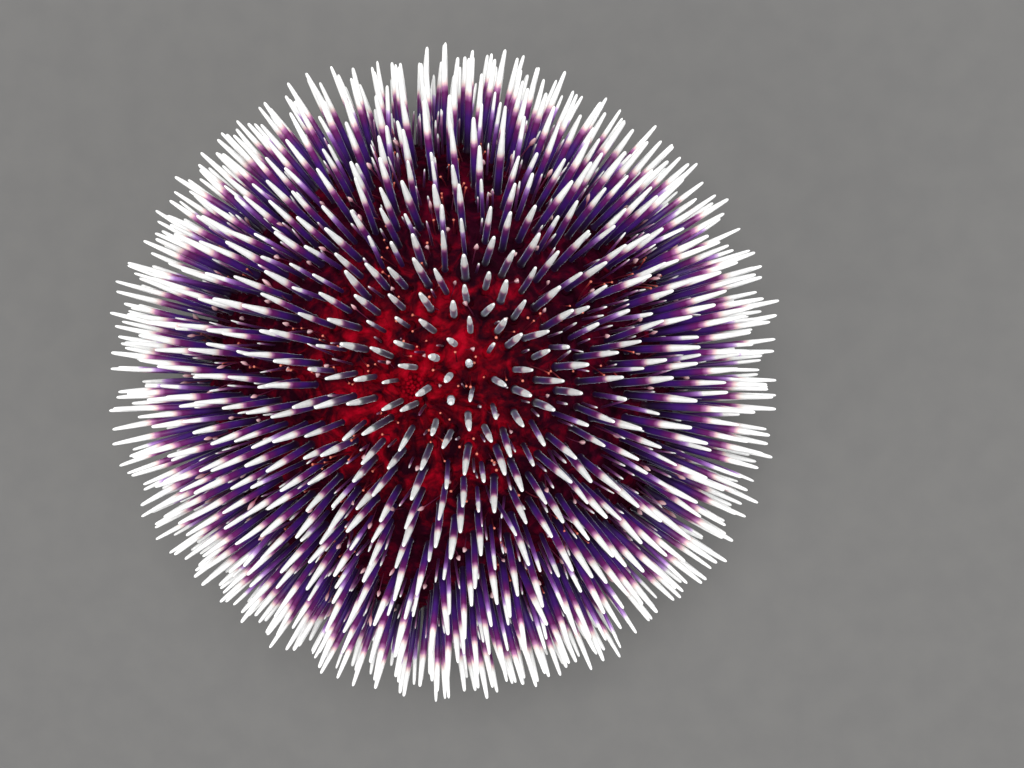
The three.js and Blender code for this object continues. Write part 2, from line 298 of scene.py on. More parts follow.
# Buccal feet, in five pairs round the jaws
BUCCAL_RING = 5.8 * MM
BUCCAL_PAIR_ANGLE = 0.55
BUCCAL_FOOT_RADIUS = 0.6 * MM
BUCCAL_FOOT_LENGTH = 3.6 * MM
BUCCAL_FOOT_SINK = 0.2 * MM
BUCCAL_FOOT_SPLAY = 0.25
BUCCAL_FOOT_BOW = 0.03
BUCCAL_FOOT_SIDES = 12

# Teeth. How far out the middle line is, and half the width and depth: at the tip in mm, how much more in
# the end, the share of the height where that is reached, and the power of the curve to it
TOOTH_REACH = (0.65, 1.75, 0.5, 0.7)
TOOTH_HALF_WIDTH = (0.45, 0.45, 0.25, 1)
TOOTH_HALF_DEPTH = (0.10, 0.44, 0.3, 1)
TOOTH_BOXINESS = 0.7
TOOTH_LIFT = 0.02 * MM
TOOTH_ROWS = 14
TOOTH_SIDES = 16

rng = np.random.default_rng(SEED)


def meridian(angle):
    """Radius and height of the skin at an angle down its meridian: 0 is the apex and pi the mouth."""
    fall = np.cos(angle)
    crown = (CROWN_HEIGHT - SKIN_INSET) * np.maximum(fall, 0)
    oral = (ORAL_DEPTH - SKIN_INSET) * np.maximum(-fall, 0) ** ORAL_FLATNESS
    return (TEST_RADIUS - SKIN_INSET) * np.sin(angle), AMBITUS_Z + crown - oral


def meridian_normal(angle):
    """The outward normal of the meridian, as radius and height."""
    radius_after, height_after = meridian(angle + NORMAL_STEP)
    radius_before, height_before = meridian(angle - NORMAL_STEP)
    along_r = radius_after - radius_before
    along_z = height_after - height_before
    length = np.hypot(along_r, along_z)
    return -along_z / length, along_r / length


MOUTH_ANGLE = math.pi - math.asin(MOUTH_RADIUS / TEST_RADIUS)
ANGLES = np.linspace(0, MOUTH_ANGLE, ARC_SAMPLES)
ARCS = np.concatenate([[0], np.cumsum(np.hypot(*np.diff(np.array(meridian(ANGLES)), axis=1)))])
WHOLE_ARC = ARCS[-1]


def angle_at(arc):
    return np.interp(arc, ARCS, ANGLES)


def round_axis(radius, around, height):
    """Points at a radius and an angle round the axis."""
    radius, around, height = np.broadcast_arrays(radius, around, height)
    return np.stack([radius * np.cos(around), radius * np.sin(around), height], axis=-1)


def unit(vectors):
    return vectors / np.linalg.norm(vectors, axis=-1, keepdims=True)


def joined_mesh(name, points, faces, slot, material, corner_uv=None, **attributes):
    """A smooth mesh piece that rides on the body. Attributes hold one number for each point."""
    mesh = bpy.data.meshes.new(name)
    mesh.from_pydata(points.reshape(-1, 3).tolist(), [], faces)
    for label, values in attributes.items():
        mesh.attributes.new(label, "FLOAT", "POINT").data.foreach_set(
            "value", np.asarray(values, np.float32).ravel()
        )
    if corner_uv is not None:
        layer = mesh.uv_layers.new(name="OFBake")
        layer.data.foreach_set("uv", np.asarray(corner_uv, np.float32).ravel())
    mesh.polygons.foreach_set("use_smooth", [True] * len(mesh.polygons))
    mesh.materials.append(material)
    mesh.update()
    piece = bpy.data.objects.new(name, mesh)
    bpy.context.scene.collection.objects.link(piece)
    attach(piece, "root")
    return piece


# Materials


def new_material(name, roughness, **sockets):
    """A material whose shader has these constant values, with its tree and shader."""
    made = bpy.data.materials.new(name)
    made.use_nodes = True
    shader = made.node_tree.nodes["Principled BSDF"]
    shader.inputs["Roughness"].default_value = roughness
    for label, value in sockets.items():
        shader.inputs[label.replace("_", " ")].default_value = value
    return made, made.node_tree, shader


def math_node(tree, operation, first, second):
    node = tree.nodes.new("ShaderNodeMath")
    node.operation = operation
    for socket, value in zip(node.inputs, (first, second)):
        if isinstance(value, (int, float)):
            socket.default_value = value
        else:
            tree.links.new(value, socket)
    return node.outputs[0]


def scaled_node(tree, value, factor, offset):
    """A value times a factor, with an offset added."""
    node = tree.nodes.new("ShaderNodeMath")
    node.operation = "MULTIPLY_ADD"
    node.inputs[1].default_value = factor
    node.inputs[2].default_value = offset
    tree.links.new(value, node.inputs[0])
    return node.outputs[0]


def ramp_node(tree, factor, stops):
    """A colour ramp with stops of place and linear colour."""
    node = tree.nodes.new("ShaderNodeValToRGB")
    ramp = node.color_ramp
    while len(ramp.elements) < len(stops):
        ramp.elements.new(0.5)
    for element, (place, colour) in zip(ramp.elements, stops):
        element.position = place
        element.color = (*colour, 1)
    tree.links.new(factor, node.inputs[0])
    return node.outputs[0]


def mix_node(tree, factor, first, second, blend="MIX"):
    node = tree.nodes.new("ShaderNodeMix")
    node.data_type = "RGBA"
    node.blend_type = blend
    for socket, value in zip((node.inputs[0], node.inputs[6], node.inputs[7]), (factor, first, second)):
        if isinstance(value, (int, float)):
            socket.default_value = value
        elif isinstance(value, tuple):
            socket.default_value = (*value, 1)
        else:
            tree.links.new(value, socket)
    return node.outputs[2]


def noise_node(tree, scale, detail, roughness=0.5, distortion=0.0):
    place = tree.nodes.new("ShaderNodeTexCoord")
    node = tree.nodes.new("ShaderNodeTexNoise")
    node.inputs["Scale"].default_value = scale
    node.inputs["Detail"].default_value = detail
    node.inputs["Roughness"].default_value = roughness
    node.inputs["Distortion"].default_value = distortion
    tree.links.new(place.outputs["Object"], node.inputs["Vector"])
    return node.outputs["Fac"]


def attribute_node(tree, name):
    node = tree.nodes.new("ShaderNodeAttribute")
    node.attribute_name = name
    return node.outputs["Fac"]


def bump_node(tree, shader, height, distance, strength):
    node = tree.nodes.new("ShaderNodeBump")
    node.inputs["Distance"].default_value = distance
    node.inputs["Strength"].default_value = strength
    tree.links.new(height, node.inputs["Height"])
    tree.links.new(node.outputs[0], shader.inputs["Normal"])


def ridge_node(tree):
    """Fine ridges along a shaft, counted across its patch of the map."""
    place = tree.nodes.new("ShaderNodeUVMap")
    place.uv_map = "OFBake"
    split = tree.nodes.new("ShaderNodeSeparateXYZ")
    tree.links.new(place.outputs[0], split.inputs[0])
    turned = scaled_node(tree, split.outputs[0], 2 * math.pi * RIDGES / PATCH, 0)
    return math_node(tree, "SINE", turned, 0)


WHITE_TIP = (0.86, 0.86, 0.835)
# Painted shade: this near-black, the deep violet and the maroon darken each spine's lower shaft
ROOT_SHADE_BLACK = (0.010, 0.002, 0.012)
ROOT_SHADE_VIOLET = (0.020, 0.004, 0.055)
INDIGO = (0.043, 0.007, 0.128)
PLUM = (0.125, 0.010, 0.098)
MAUVE = (0.38, 0.14, 0.31)
LILAC = (0.36, 0.18, 0.50)
PEACH = (0.72, 0.48, 0.48)
CREAM = (0.80, 0.74, 0.70)
ROOT_SHADE_MAROON = (0.045, 0.003, 0.012)


def spine_material(name, stops, crown_stops, drift, sheen):
    """Colour along a spine from root to tip, moved a little by the spine's own draw. The dark lower shaft
    is painted shade, where shade falls between the spines. Spines on the crown have colours of their own,
    partly painted
    sheen: the pale grey-green of shafts seen end-on."""
    made, tree, shader = new_material(
        name,
        roughness=0.45,
        Specular_IOR_Level=0.3,
        Sheen_Weight=sheen,
        Sheen_Roughness=0.18,
        Sheen_Tint=(0.72, 0.80, 0.86, 1),
    )
    along = attribute_node(tree, "along")
    tint = attribute_node(tree, "tint")
    crown = attribute_node(tree, "crown")
    streak = attribute_node(tree, "streak")
    drifted = math_node(tree, "ADD", along, scaled_node(tree, tint, drift, -drift / 2))
    drifted = math_node(tree, "ADD", drifted, scaled_node(tree, streak, factor=0.018, offset=-0.009))
    colour = mix_node(tree, crown, ramp_node(tree, drifted, stops), ramp_node(tree, drifted, crown_stops))
    shade = math_node(
        tree,
        "MULTIPLY",
        scaled_node(tree, streak, factor=0.22, offset=0.84),
        scaled_node(tree, noise_node(tree, scale=900, detail=3), factor=0.30, offset=0.87),
    )
    tree.links.new(mix_node(tree, 1.0, colour, shade, "MULTIPLY"), shader.inputs["Base Color"])
    bump_node(tree, shader, ridge_node(tree), distance=0.02 * MM, strength=0.2)
    return made


def skin_material():
    """Crimson skin with dark blotches, darker towards and below the ambitus: partly the skin's own colour,
    partly painted shade between the longer spines there.
    """
    made, tree, shader = new_material("urchin_skin", roughness=0.6, Specular_IOR_Level=0.01)
    blotch = noise_node(tree, scale=210, detail=5, roughness=0.62, distortion=0.9)
    grain = noise_node(tree, scale=850, detail=3)
    blotch = math_node(tree, "ADD", blotch, scaled_node(tree, grain, factor=0.24, offset=-0.12))
    place = tree.nodes.new("ShaderNodeTexCoord")
    split = tree.nodes.new("ShaderNodeSeparateXYZ")
    tree.links.new(place.outputs["Object"], split.inputs[0])
    # Height over the ambitus: lower skin is darker, partly painted shade between the longer spines
    height = tree.nodes.new("ShaderNodeMapRange")
    height.inputs["From Min"].default_value = AMBITUS_Z + RED_FROM * CROWN_HEIGHT
    height.inputs["From Max"].default_value = AMBITUS_Z + RED_FULL * CROWN_HEIGHT
    tree.links.new(split.outputs["Z"], height.inputs["Value"])
    redder = scaled_node(tree, height.outputs[0], factor=0.26, offset=-0.225)
    crown = ramp_node(
        tree,
        math_node(tree, "ADD", blotch, redder),
        [
            (0.38, (0.010, 0.0005, 0.003)),
            (0.48, (0.055, 0.0005, 0.003)),
            (0.56, (0.138, 0.0005, 0.004)),
            (0.70, (0.290, 0.0010, 0.009)),
        ],
    )
    # Darker skin towards and below the ambitus: partly its own colour, partly painted shade between the
    # longer spines
    rim = ramp_node(
        tree,
        blotch,
        [
            (0.36, (0.006, 0.0005, 0.003)),
            (0.52, (0.026, 0.001, 0.007)),
            (0.70, (0.095, 0.001, 0.010)),
        ],
    )
    colour = mix_node(tree, height.outputs[0], rim, crown)
    groove = scaled_node(tree, attribute_node(tree, "groove"), factor=0.55, offset=0)
    colour = mix_node(tree, groove, colour, (0.012, 0.0006, 0.003))
    tree.links.new(colour, shader.inputs["Base Color"])
    bump_node(tree, shader, noise_node(tree, scale=1400, detail=4), distance=0.25 * MM, strength=0.5)
    return made


def foot_material():
    """Dark red stalks that end in pale orange suckers."""
    made, tree, shader = new_material("tube_foot_skin", roughness=0.4)
    colour = ramp_node(
        tree,
        attribute_node(tree, "along"),
        [
            (0.0, (0.04, 0.001, 0.006)),
            (0.75, (0.09, 0.003, 0.010)),
            (0.90, (0.30, 0.030, 0.024)),
            (0.97, (0.52, 0.130, 0.085)),
        ],
    )
    tree.links.new(colour, shader.inputs["Base Color"])
    bump_node(tree, shader, noise_node(tree, scale=3000, detail=2), distance=0.05 * MM, strength=0.5)
    return made


def jaw_material():
    """Stalks and three-part heads of the pedicellariae."""
    made, tree, shader = new_material("pedicellaria_skin", roughness=0.4)
    colour = ramp_node(
        tree,
        attribute_node(tree, "along"),
        [
            (0.0, (0.05, 0.003, 0.016)),
            (0.70, (0.13, 0.014, 0.050)),
            (0.80, (0.34, 0.090, 0.140)),
            (1.0, (0.70, 0.480, 0.480)),
        ],
    )
    tree.links.new(colour, shader.inputs["Base Color"])
    return made


def noisy_material(name, dark, light, scale, roughness, bump):
    """A plain material of two mottled colours with a fine bump."""
    made, tree, shader = new_material(name, roughness)
    mottle = noise_node(tree, scale, detail=4)
    tree.links.new(ramp_node(tree, mottle, [(0.35, dark), (0.65, light)]), shader.inputs["Base Color"])
    bump_node(tree, shader, mottle, distance=bump, strength=0.6)
    return made


# Crown colours of the stout and slender spines: the grey-green stops are partly painted sheen of shafts
# seen end-on
CROWN_SHEEN_STOPS = [
    (0.00, ROOT_SHADE_MAROON),
    (0.10, ROOT_SHADE_BLACK),
    (0.30, (0.035, 0.018, 0.060)),
    (0.54, (0.070, 0.062, 0.105)),
    (0.62, (0.150, 0.165, 0.175)),
    (0.66, (0.50, 0.54, 0.52)),
    (0.69, (0.95, 0.96, 0.93)),
]
# Ramps from root to tip. Their darkest stops at the root are painted shade on the lower shafts between the
# spines
SPINE_SKIN = spine_material(
    "spine_skin",
    [
        (0.00, ROOT_SHADE_MAROON),
        (0.10, ROOT_SHADE_BLACK),
        (0.26, ROOT_SHADE_VIOLET),
        (0.36, INDIGO),
        (0.44, INDIGO),
        (0.510, (0.085, 0.008, 0.105)),
        (0.590, PLUM),
        (0.637, MAUVE),
        (0.665, PEACH),
        (0.695, CREAM),
        (0.730, WHITE_TIP),
    ],
    CROWN_SHEEN_STOPS,
    drift=0.12,
    sheen=0.75,
)
SLENDER_SKIN = spine_material(
    "slender_spine_skin",
    [
        (0.00, ROOT_SHADE_MAROON),
        (0.10, ROOT_SHADE_BLACK),
        (0.28, ROOT_SHADE_VIOLET),
        (0.46, (0.060, 0.010, 0.110)),
        (0.62, (0.130, 0.030, 0.200)),
        (0.72, LILAC),
        (0.760, (0.66, 0.50, 0.72)),
        (0.785, WHITE_TIP),
    ],
    CROWN_SHEEN_STOPS,
    drift=0.16,
    sheen=0.45,
)
SMALL_SKIN = spine_material(
    "small_spine_skin",
    [
        (0.00, ROOT_SHADE_MAROON),
        (0.35, (0.035, 0.005, 0.035)),
        (0.66, (0.110, 0.020, 0.110)),
        (0.84, (0.42, 0.20, 0.34)),
        (0.92, WHITE_TIP),
    ],
    [
        (0.00, ROOT_SHADE_MAROON),
        (0.50, (0.060, 0.004, 0.026)),
        (0.86, (0.110, 0.012, 0.070)),
        (0.98, (0.300, 0.130, 0.220)),
    ],
    drift=0.16,
    sheen=0.1,
)
SKIN = skin_material()
FOOT_SKIN = foot_material()
JAW_SKIN = jaw_material()
MEMBRANE_SKIN = noisy_material(
    "membrane_skin",
    dark=(0.05, 0.006, 0.02),
    light=(0.17, 0.02, 0.06),
    scale=420,
    roughness=0.42,
    bump=0.3 * MM,
)
TOOTH_ENAMEL = noisy_material(
    "tooth_enamel",
    dark=(0.66, 0.62, 0.5),
    light=(0.86, 0.84, 0.76),
    scale=900,
    roughness=0.28,
    bump=0.05 * MM,
)


# Skin


def grid_faces(rows, columns):
    """Faces of a grid of points, row by row, whose last column joins its first."""
    row, column = np.meshgrid(np.arange(rows - 1), np.arange(columns), indexing="ij")
    after = (column + 1) % columns
    corners = [row * columns + column, (row + 1) * columns + column, (row + 1) * columns + after]
    corners.append(row * columns + after)
    return np.stack(corners, axis=-1).reshape(-1, 4)


def zone_place(around):
    """Place across its zone pair, from 0 to 1, which starts at an edge of an ambulacrum."""
    return ((around - FIRST_EDGE) / PAIR_ANGLE) % 1


def seam_depth(around, arc):
    """Soft grooves along the zones' borders and middles and between the plates, from 0 to 1."""
    share = zone_place(around)
    ambulacrum = AMBULACRUM_ANGLE / PAIR_ANGLE
    lines = [0, ambulacrum / 2, ambulacrum, (1 + ambulacrum) / 2, 1]
    nearest = np.min([np.abs(share - line) for line in lines], axis=0)
    radius = meridian(angle_at(arc))[0]
    meridional = np.exp(-((nearest * PAIR_ANGLE * radius / GROOVE_WIDTH) ** 2))
    plate = np.abs((arc / PLATE_HEIGHT + 0.5 * (share * 2 % 1)) % 1 - 0.5) * PLATE_HEIGHT
    across = np.exp(-((plate / PLATE_GROOVE_WIDTH) ** 2)) * PLATE_GROOVE_SHARE
    return np.maximum(meridional, across)


def build_skin():
    """The whole test in one piece, from the apex to the edge of the mouth, with the apex closed."""
    arcs = np.linspace(WHOLE_ARC / SKIN_ROWS, WHOLE_ARC, SKIN_ROWS)
    arounds = np.arange(SKIN_COLUMNS) * 2 * math.pi / SKIN_COLUMNS
    arc, around = np.meshgrid(arcs, arounds, indexing="ij")
    angle = angle_at(arc)
    radius, height = meridian(angle)
    normal_r, normal_z = meridian_normal(angle)
    groove = seam_depth(around, arc)
    swell = SWELL_HEIGHT
    for turns, beats in SWELL_WAVES:
        swell = swell * np.sin(around * turns + arc * beats)
    rise = swell - GROOVE_DEPTH * groove
    points = round_axis(radius + rise * normal_r, around, height + rise * normal_z).reshape(-1, 3)
    apex = [[0, 0, AMBITUS_Z + CROWN_HEIGHT - SKIN_INSET]]
    quads = grid_faces(SKIN_ROWS, SKIN_COLUMNS)
    last = len(points)
    column = np.arange(SKIN_COLUMNS)
    fan = np.stack([np.full(SKIN_COLUMNS, last), column, (column + 1) % SKIN_COLUMNS], axis=-1)
    step_u = 1 / SKIN_COLUMNS
    row, col = np.divmod(np.arange(len(quads)), SKIN_COLUMNS)
    v = arcs / WHOLE_ARC
    quad_uv = np.stack(
        [
            np.stack([col * step_u, v[row]], -1),
            np.stack([col * step_u, v[row + 1]], -1),
            np.stack([(col + 1) * step_u, v[row + 1]], -1),
            np.stack([(col + 1) * step_u, v[row]], -1),
        ],
        axis=1,
    )
    fan_uv = np.stack(
        [
            np.stack([(column + 0.5) * step_u, np.zeros(SKIN_COLUMNS)], -1),
            np.stack([column * step_u, np.full(SKIN_COLUMNS, v[0])], -1),
            np.stack([(column + 1) * step_u, np.full(SKIN_COLUMNS, v[0])], -1),
        ],
        axis=1,
    )
    corner_uv = np.concatenate([quad_uv.reshape(-1, 2), fan_uv.reshape(-1, 2)])
    return joined_mesh(
        "skin",
        np.concatenate([points, apex]),
        quads.tolist() + fan.tolist(),
        "skin",
        SKIN,
        corner_uv,
        groove=np.concatenate([groove.ravel(), [0]]),
    )


# Things that grow from the skin


class Roots:
    """Places on the skin where things grow, with the ways that they point."""

    def __init__(self, arc, around):
        self.arc = np.asarray(arc)
        self.around = np.asarray(around)
        self.angle = angle_at(self.arc)
        radius, height = meridian(self.angle)
        self.point = round_axis(radius, self.around, height)
        normal_r, normal_z = meridian_normal(self.angle)
        self.normal = round_axis(normal_r, self.around, normal_z)

    def __len__(self):
        return len(self.arc)

    def pick(self, chosen):
        return Roots(self.arc[chosen], self.around[chosen])

    def map_place(self):
        """Each root's place on the unwrapped skin, clear of the map's edges."""
        place = np.stack([(self.around / (2 * math.pi)) % 1, self.arc / WHOLE_ARC], axis=-1)
        return place.clip(PATCH_MARGIN, 1 - PATCH_MARGIN)

    def pair(self):
        """The zone pair of each root, from 0."""
        return (((self.around - FIRST_EDGE) % (2 * math.pi)) / PAIR_ANGLE).astype(int)


def rings(ends, spacing, jitter, stagger=0.0):
    """Roots in rings down the test, as many round each ring as fit, the same in each fifth of it."""
    arcs = []
    arounds = []
    arc = ends[0]
    while arc < WHOLE_ARC - ends[1]:
        ring = len(arcs)
        angle = angle_at(arc)
        radius = meridian(angle)[0]
        step = spacing * (1 - CROWDING * math.sin(angle) ** 4)
        places = ZONE_PAIRS * max(1, round(2 * math.pi * radius / step / ZONE_PAIRS))
        turn = (GOLDEN_STEP * ring + stagger) % 1 / places
        around = (np.arange(places) / places + turn) * 2 * math.pi + FIRST_EDGE
        arounds.append(around + rng.normal(0, jitter, places) / radius)
        arcs.append(np.full(places, arc) + rng.normal(0, jitter, places))
        arc += step * RING_CLOSENESS
    return Roots(np.concatenate(arcs).clip(APEX_GAP, WHOLE_ARC), np.concatenate(arounds))


def clear_of(roots, others, room):
    """The roots that stand farther than this from all the others."""
    apart = np.linalg.norm(roots.point[:, None] - others.point[None], axis=2).min(axis=1)
    return roots.pick(apart > room)


def leaned(roots, degrees):
    """The skin's normals, each leaned a random way, and more up and down near the ambitus. Neighbours
    lean a little to the same side, so that the spines gather and part as they do in life."""
    lean = rng.normal(0, math.radians(degrees), (len(roots), 3))
    lean[:, 2] += rng.normal(0, math.radians(AMBITUS_LEAN), len(roots)) * np.sin(roots.angle) ** 4
    sideways = 0
    for turns, beats, phase, size in LEAN_WAVES:
        sideways = sideways + size * np.sin(turns * roots.around + beats * roots.angle + phase)
    aside = round_axis(1.0, roots.around + math.pi / 2, 0.0)
    return unit(roots.normal + lean + aside * (sideways * np.sin(roots.angle))[:, None])


def fitted(roots, direction, length, tip_radius):
    """Directions and lengths whose tips stay over the floor and inside the box of the solids."""
    extra = rng.uniform(0, MOST_HEIGHT, len(roots)) * (rng.random(len(roots)) > TOUCHING_SHARE)
    clearance = LEAST_HEIGHT * tip_radius + extra
    fall = (roots.point[:, 2] - clearance) / length
    low = -direction[:, 2] > fall
    flat = unit(direction[:, :2])
    splayed_z = -np.clip(fall, 0, STEEPEST)
    reach = np.sqrt(1 - splayed_z**2)
    splayed = np.concatenate([flat * reach[:, None], splayed_z[:, None]], axis=1)
    direction = np.where(low[:, None], splayed, direction)
    edge = BOX_MARGIN + tip_radius
    room = np.where(direction > 0, np.array(CAD_HIGH) - edge, np.array(CAD_LOW) + edge) - roots.point
    room[:, 2] = np.where(direction[:, 2] > 0, room[:, 2], -roots.point[:, 2])
    with np.errstate(divide="ignore", invalid="ignore"):
        most = np.where(np.abs(direction) > TINY, room / direction, np.inf)
    return direction, np.minimum(length, most.min(axis=1))


def swell_at(around, angle):
    """How a spine's length differs by bearing, which makes the outline uneven as in the photograph."""
    swell = MEAN_LENGTH
    for turns, share, phase in LENGTH_WAVES:
        swell = swell + share * np.sin(turns * around + phase)
    for bearing, width, share in DENTS:
        off = (around - math.radians(bearing) + math.pi) % (2 * math.pi) - math.pi
        swell = swell + share * np.exp(-((off / math.radians(width)) ** 2)) * np.sin(angle) ** 4
    return swell


def full_lengths(roots):
    """Length of a full-grown spine down the test: shorter at the apex, shortest near the mouth."""
    pole = np.where(roots.angle > math.pi / 2, MOUTH_LENGTH, CROWN_LENGTH)
    full = pole + (AMBITUS_LENGTH - pole) * np.sin(roots.angle) ** 2
    return full * swell_at(roots.around, roots.angle)


def side_axes(direction):
    """Two unit vectors across each direction, turned by a random roll."""
    helper = np.where(np.abs(direction[:, 2:]) < NEARLY_UPRIGHT, [[0, 0, 1.0]], [[1.0, 0, 0]])
    first = unit(np.cross(direction, helper))
    second = np.cross(direction, first)
    roll = rng.uniform(0, 2 * math.pi, (len(direction), 1))
    return first * np.cos(roll) + second * np.sin(roll), second * np.cos(roll) - first * np.sin(roll)


def shafts(roots, direction, length, radius, profile, sides, bow, root_sink, lobes=0.0):
    """Points, faces and shares along of shafts that follow a profile of share of the length and share of
    the radius, each closed at its root and its tip. A shaft with lobes has a head in three parts."""
    shares = np.array([share for share, _ in profile])
    widths = np.array([width for _, width in profile])
    across, over = side_axes(direction)
    start = roots.point - direction * root_sink
    whole = length + root_sink
    centre = start[:, None] + direction[:, None] * (whole[:, None] * shares)[:, :, None]
    bend = bow[:, None] * 4 * shares * (1 - shares) * whole[:, None]
    centre = centre + across[:, None] * bend[:, :, None]
    turn = np.arange(sides) * 2 * math.pi / sides
    spoke = across[:, None] * np.cos(turn)[:, None] + over[:, None] * np.sin(turn)[:, None]
    reach = 1 + lobes * np.cos(3 * turn) * (shares > HEAD_SHARE)[:, None]
    widest = (radius[:, None] * widths)[:, :, None] * reach
    rim = centre[:, :, None] + spoke[:, None] * widest[..., None]
    count = len(roots)
    ends = np.stack([start, start + direction * whole[:, None]], axis=1)
    points = np.concatenate([rim.reshape(count, -1, 3), ends], axis=1)
    return points, shaft_faces(len(profile), sides), shares


def shaft_faces(rows, sides):
    """Faces of one shaft, whose last two points are its root and its tip."""
    body = grid_faces(rows, sides)[:, ::-1]
    side = np.arange(sides)
    after = (side + 1) % sides
    root = np.stack([np.full(sides, rows * sides), after, side], axis=-1)
    last = (rows - 1) * sides
    tip = np.stack([np.full(sides, rows * sides + 1), last + side, last + after], axis=-1)
    return body, np.concatenate([root, tip])


def shaft_corner_places(shares, sides):
    """Place of each face corner of one shaft across its patch of the map, from 0 to 1."""
    rows = len(shares)
    row, column = np.meshgrid(np.arange(rows - 1), np.arange(sides), indexing="ij")
    row, column = row.ravel(), column.ravel()
    corners = [(column + 1, row), (column + 1, row + 1), (column, row + 1), (column, row)]
    body = np.stack([np.stack([c / sides, shares[r]], -1) for c, r in corners], axis=1)
    side = np.arange(sides)
    root = [(side + 0.5, 0), (side + 1, 0), (side, 0)]
    tip = [(side + 0.5, 1), (side, shares[-1]), (side + 1, shares[-1])]
    ends = [
        np.stack([np.stack([c / sides, np.broadcast_to(v, side.shape)], -1) for c, v in corner], axis=1)
        for corner in (root, tip)
    ]
    return np.concatenate([body.reshape(-1, 2), *[end.reshape(-1, 2) for end in ends]])


def repeated_faces(faces, points_each, count):
    """The faces of one thing repeated for all of them, each thing's quads before its triangles."""
    shift = (np.arange(count) * points_each)[:, None, None]
    quads, triangles = faces
    return [(shift + quads).tolist(), (shift + triangles).tolist()]


def plant(
    name,
    roots,
    slot,
    material,
    direction,
    length,
    radius,
    profile,
    sides,
    bow=0.0,
    sink=ROOT_SINK,
    lobes=0.0,
):
    """One joined piece of shafts that stand on the skin."""
    count = len(roots)
    bows = rng.normal(0, bow, count)
    points, faces, shares = shafts(roots, direction, length, radius, profile, sides, bows, sink, lobes)
    points[:, :, 2] = np.maximum(points[:, :, 2], 0)
    quads, triangles = repeated_faces(faces, points.shape[1], count)
    ordered = [face for q, t in zip(quads, triangles) for face in q + t]
    patch = shaft_corner_places(shares, sides) - 0.5
    corner_uv = roots.map_place()[:, None] + patch[None] * PATCH
    along = np.tile(np.concatenate([np.repeat(shares, sides), [0, 1]]), count)
    tint = np.repeat(rng.random(count), points.shape[1])
    streaks = rng.random((count, 1, sides)).repeat(len(profile), axis=1).reshape(count, -1)
    streaks = np.concatenate([streaks, np.full((count, 2), 0.5)], axis=1)
    # Share of the crown's colours, which are partly painted sheen, by how near the apex the spine stands
    crown = (CROWN_COLOURS_END - np.degrees(roots.angle)) / (CROWN_COLOURS_END - CROWN_COLOURS_FULL)
    crown = np.repeat(crown.clip(0, 1), points.shape[1])
    return joined_mesh(
        name,
        points,
        ordered,
        slot,
        material,
        corner_uv,
        along=along,
        tint=tint,
        streak=streaks,
        crown=crown,
    )


# Profiles from root to tip: share of the length, and width as a share of the radius
SPINE_PROFILE = [
    (0.00, 0.72),
    (0.055, 0.80),
    (0.072, 1.16),
    (0.095, 1.18),
    (0.115, 0.95),
    (0.16, 0.97),
    (0.32, 1.00),
    (0.50, 1.00),
    (0.64, 0.94),
    (0.80, 0.76),
    (0.93, 0.56),
    (0.972, 0.47),
    (0.988, 0.37),
    (0.997, 0.19),
]
SLENDER_PROFILE = [
    (0.00, 0.80),
    (0.06, 0.90),
    (0.08, 1.22),
    (0.11, 1.15),
    (0.13, 0.96),
    (0.40, 1.00),
    (0.66, 0.98),
    (0.84, 0.86),
    (0.94, 0.72),
    (0.978, 0.60),
    (0.994, 0.34),
]
SMALL_PROFILE = [
    (0.00, 0.90),
    (0.12, 1.00),
    (0.45, 1.00),
    (0.80, 0.90),
    (0.93, 0.72),
    (0.985, 0.42),
]
TUBERCLE_PROFILE = [
    (0.00, 1.9),
    (0.30, 1.6),
    (0.55, 1.25),
    (0.80, 1.0),
    (0.92, 0.8),
    (0.99, 0.4),
]
TUBE_FOOT_PROFILE = [
    (0.00, 1.2),
    (0.15, 1.0),
    (0.35, 0.9),
    (0.55, 0.9),
    (0.75, 0.9),
    (0.90, 1.0),
    (0.945, 1.2),
    (0.965, 1.7),
    (0.985, 1.8),
    (0.995, 1.3),
]
PEDICELLARIA_PROFILE = [
    (0.00, 0.8),
    (0.30, 0.7),
    (0.62, 0.7),
    (0.78, 1.0),
    (0.82, 2.3),
    (0.87, 2.9),
    (0.92, 2.5),
    (0.965, 1.5),
    (0.99, 0.7),
]
BUCCAL_FOOT_PROFILE = [
    (0.00, 1.1),
    (0.30, 1.0),
    (0.60, 0.85),
    (0.80, 0.8),
    (0.86, 1.2),
    (0.93, 1.5),
    (0.985, 1.2),
]


def zone_nodes(pair):
    """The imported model's nodes of one zone pair, upper and lower halves."""
    return [
        f"{kind}_{pair + 1}_{half}"
        for kind in ("ambulacrum", "interambulacrum")
        for half in ("upper", "lower")
    ]


def plant_by_pair(name, roots, direction, length, radius, profile, sides, material):
    """The shafts of each zone pair as a piece of its own, which stands for that pair's nodes."""
    pairs = roots.pair()
    for pair in range(ZONE_PAIRS):
        own = pairs == pair
        piece = plant(
            f"{name}_{pair + 1}",
            roots.pick(own),
            "spines",
            material,
            direction[own],
            length[own],
            radius[own],
            profile,
            sides,
            SPINE_BOW,
        )
        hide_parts(*zone_nodes(pair))


